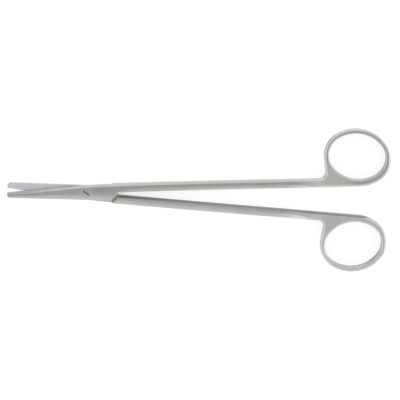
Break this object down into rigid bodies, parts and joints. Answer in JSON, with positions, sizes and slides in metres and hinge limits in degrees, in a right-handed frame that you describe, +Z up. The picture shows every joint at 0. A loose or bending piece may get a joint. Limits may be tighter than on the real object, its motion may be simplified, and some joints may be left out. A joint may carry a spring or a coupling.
{
  "type": "dissecting scissors",
  "caption": "Straight dissecting scissors with short blunt-tipped ground blades, a slotted-screw lap joint, long slim shanks and oval finger rings, for cutting tissue.",
  "frame": {"origin": "where the pivot's axis meets the surface that the scissors lie on", "axes": "+X along the line midway between the shanks, from the pivot to the finger rings; +Y to the side of the front half's ring; +Z up, along the pivot, towards the screw's slot"},
  "size_m": [0.1787, 0.0676, 0.0046],
  "materials": {
    "satin_steel": "satin, fine brushed, ground edges brighter",
    "screw_steel": "satin, ground flush with the joint"
  },
  "bodies": {
    "rear": {"rear_half": "satin_steel", "pivot_screw": "screw_steel"},
    "front": {"front_half": "satin_steel"}
  },
  "joints": [
    {"name": "blade_pivot", "type": "hinge", "parent": "rear", "child": "front", "pos_m": [0, 0, 0], "axis": [0, 0, 1], "range_deg": [-6.2, 83.8]}
  ]
}
